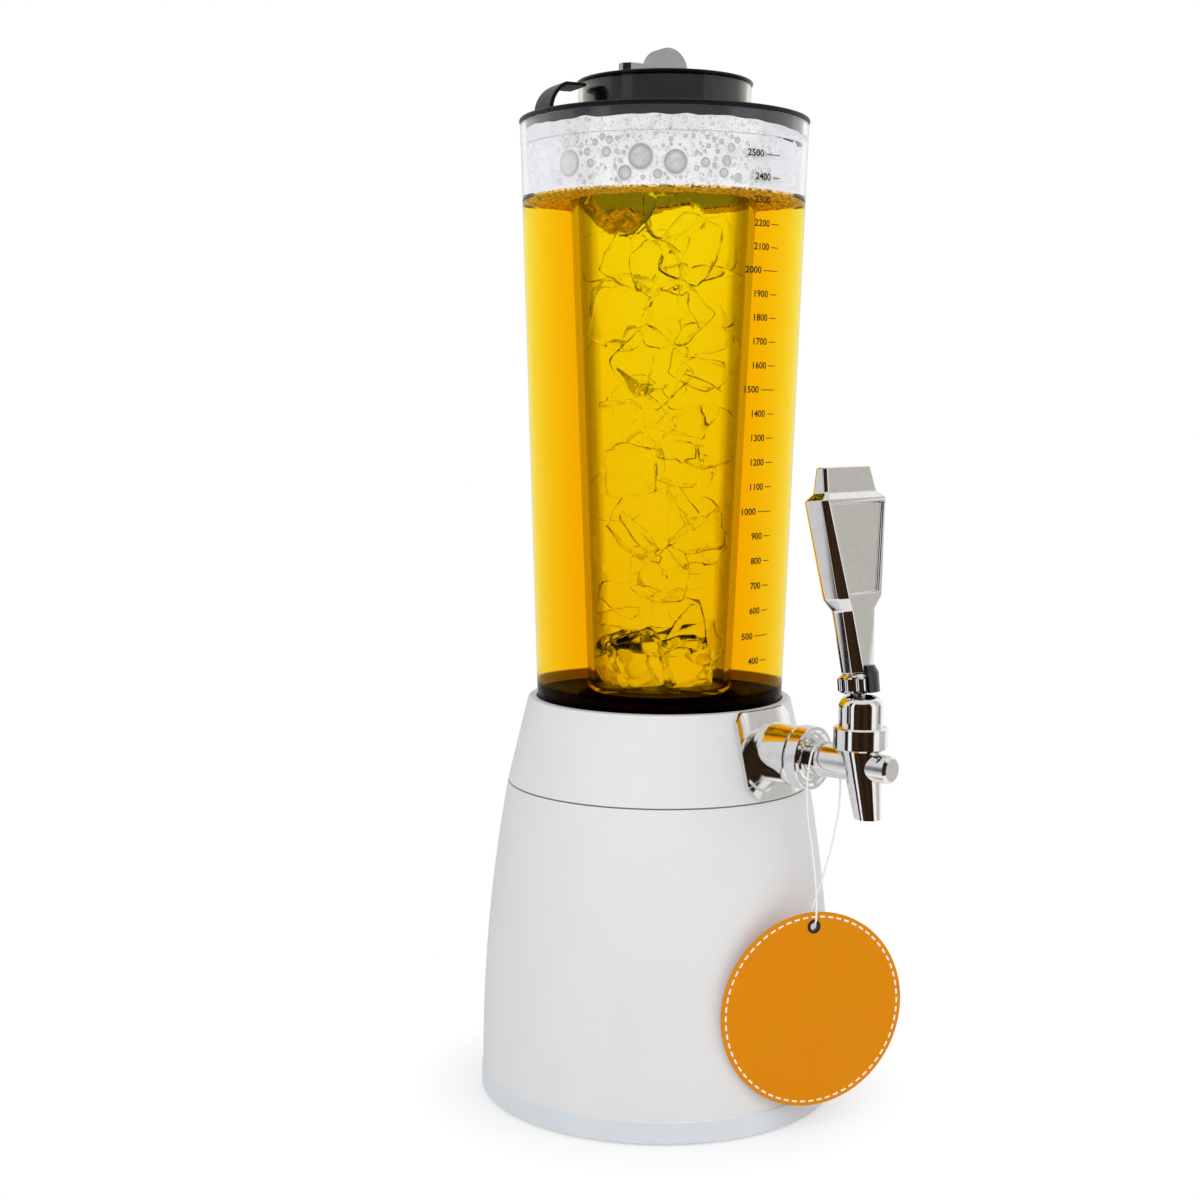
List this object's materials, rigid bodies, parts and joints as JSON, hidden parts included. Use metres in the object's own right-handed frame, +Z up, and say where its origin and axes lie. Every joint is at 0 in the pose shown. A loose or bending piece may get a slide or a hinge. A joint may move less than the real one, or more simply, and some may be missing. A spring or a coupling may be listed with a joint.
{
  "type": "beverage tower dispenser",
  "caption": "Tabletop drink tower: clear tapered container on a white weighted base, with a chilling tube, a lid and a chromed lever tap.",
  "frame": {"origin": "on the tower's axis, in the plane of the rubber foot ring that it stands on", "axes": "+Z up along the tower's axis; the tap points along -Y; +X is to the right of someone who faces the tap"},
  "size_m": [0.1858, 0.2384, 0.54],
  "materials": {
    "white_plastic": "satin white moulded plastic",
    "pale_plastic": "pale blue-grey satin plastic",
    "black_plastic": "black moulded plastic",
    "clear_plastic": "clear moulded plastic",
    "chrome": "bright chrome plating",
    "handle_chrome": "bright chrome plating, satin on the broad faces",
    "steel": "plain steel",
    "rubber": "black rubber",
    "seal": "grey silicone",
    "card": "orange card",
    "eyelet": "black grommet",
    "string": "white cotton"
  },
  "bodies": {
    "tower": {"foot_ring": "rubber", "base_ring": "pale_plastic", "base_plate": "black_plastic", "base_screws": "steel", "base_shell": "white_plastic", "deck_screws": "steel", "collar": "white_plastic", "reservoir": "black_plastic", "container_gasket": "seal", "container": "clear_plastic", "tap_plate": "chrome", "tap_sleeve": "chrome", "tap_shank": "steel", "shank_washer": "rubber", "lock_nut": "steel", "tail_washer": "rubber", "ring_nut": "chrome", "tap_body": "chrome", "nose_plug": "chrome", "bonnet_nut": "chrome", "bonnet": "chrome", "ball_washer": "rubber", "friction_ring": "black_plastic"},
    "handle": {"handle": "handle_chrome", "ferrule": "chrome", "stop_pad": "black_plastic", "lever": "steel"},
    "plunger": {"plunger": "steel", "plunger_seal": "rubber"},
    "lid": {"lid": "black_plastic", "ice_tube": "clear_plastic"},
    "cap": {"tube_cap": "black_plastic"},
    "tag": {"hang_tag": "card", "tag_eyelet": "eyelet", "tag_string": "string"}
  },
  "joints": [
    {"name": "handle_hinge", "type": "hinge", "parent": "tower", "child": "handle", "pos_m": [0, -0.127, 0.209], "axis": [1, 0, 0], "range_deg": [0, 24]},
    {"name": "plunger_slide", "type": "slide", "parent": "tower", "child": "plunger", "axis": [0, 1, 0], "range_m": [0, 0.0078]},
    {"name": "lid_lift", "type": "slide", "parent": "tower", "child": "lid", "axis": [0, 0, 1], "range_m": [0, 0.31]},
    {"name": "cap_lift", "type": "slide", "parent": "lid", "child": "cap", "axis": [0, 0, 1], "range_m": [0, 0.06]},
    {"name": "tag_swing", "type": "hinge", "parent": "tower", "child": "tag", "pos_m": [0, -0.1055, 0.188], "axis": [0, 1, 0], "range_deg": [0, 20]}
  ],
  "couplings": [
    {"joint": "plunger_slide", "follows": "handle_hinge", "m_per_rad": 0.01823}
  ]
}
